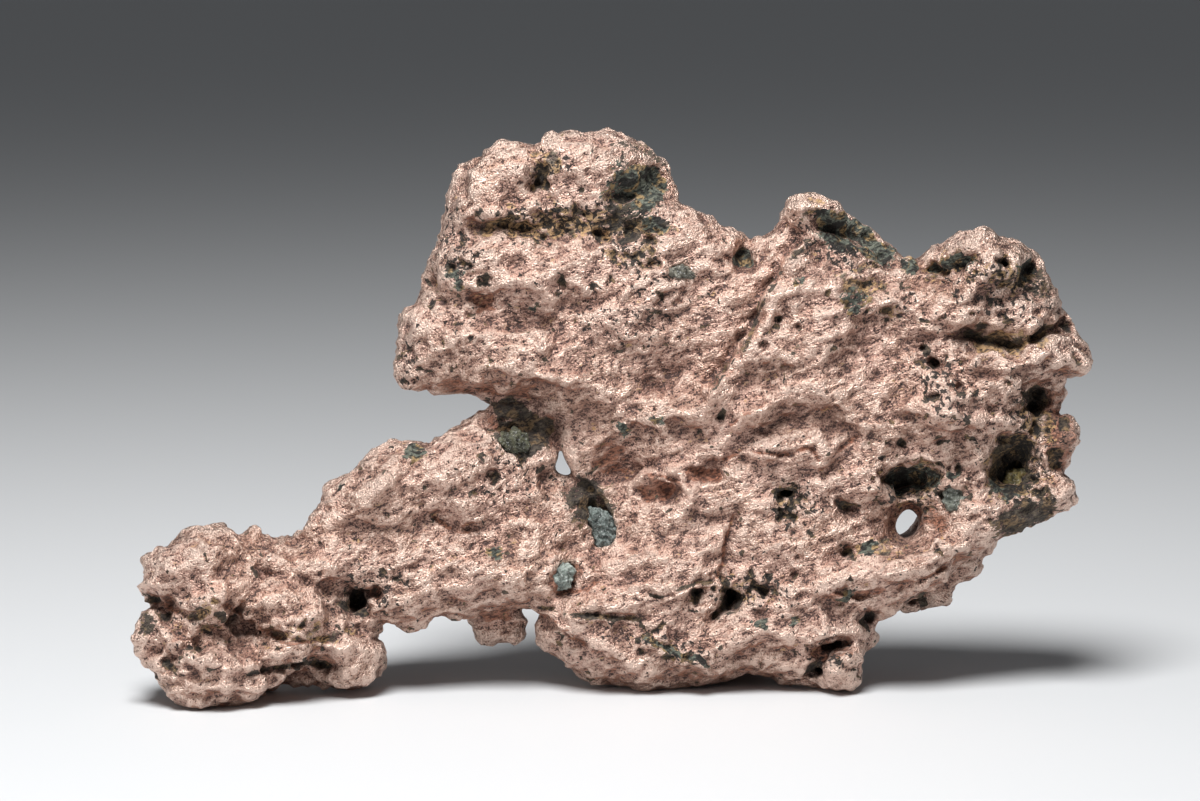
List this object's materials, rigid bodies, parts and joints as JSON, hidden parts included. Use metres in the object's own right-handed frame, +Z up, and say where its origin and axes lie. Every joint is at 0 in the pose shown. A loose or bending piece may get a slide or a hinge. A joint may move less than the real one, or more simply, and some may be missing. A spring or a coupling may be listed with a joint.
{
  "type": "native copper nugget",
  "caption": "Flattened nugget of native copper with folded sheets, pits, a small hole, a narrow arm ending in a knob, and bits of green host rock.",
  "frame": {"origin": "middle of the footprint, on the plane of the ground that the feet stand on", "axes": "+X along the length, away from the arm; +Y through the thickness, away from the show face; +Z up"},
  "size_m": [0.0954, 0.0252, 0.0566],
  "materials": {
    "copper": "bare native copper, satin, finely rough, with brown and dark tarnish in its pits",
    "host_rock": "dull grey-green altered rock, rough"
  },
  "bodies": {
    "root": {"copper_nugget": "copper", "groove_rock": "host_rock", "hollow_rock": "host_rock", "arm_crystal": "host_rock", "lobe_pebble": "host_rock", "cave_crystal": "host_rock", "rim_crystal": "host_rock"}
  },
  "joints": []
}
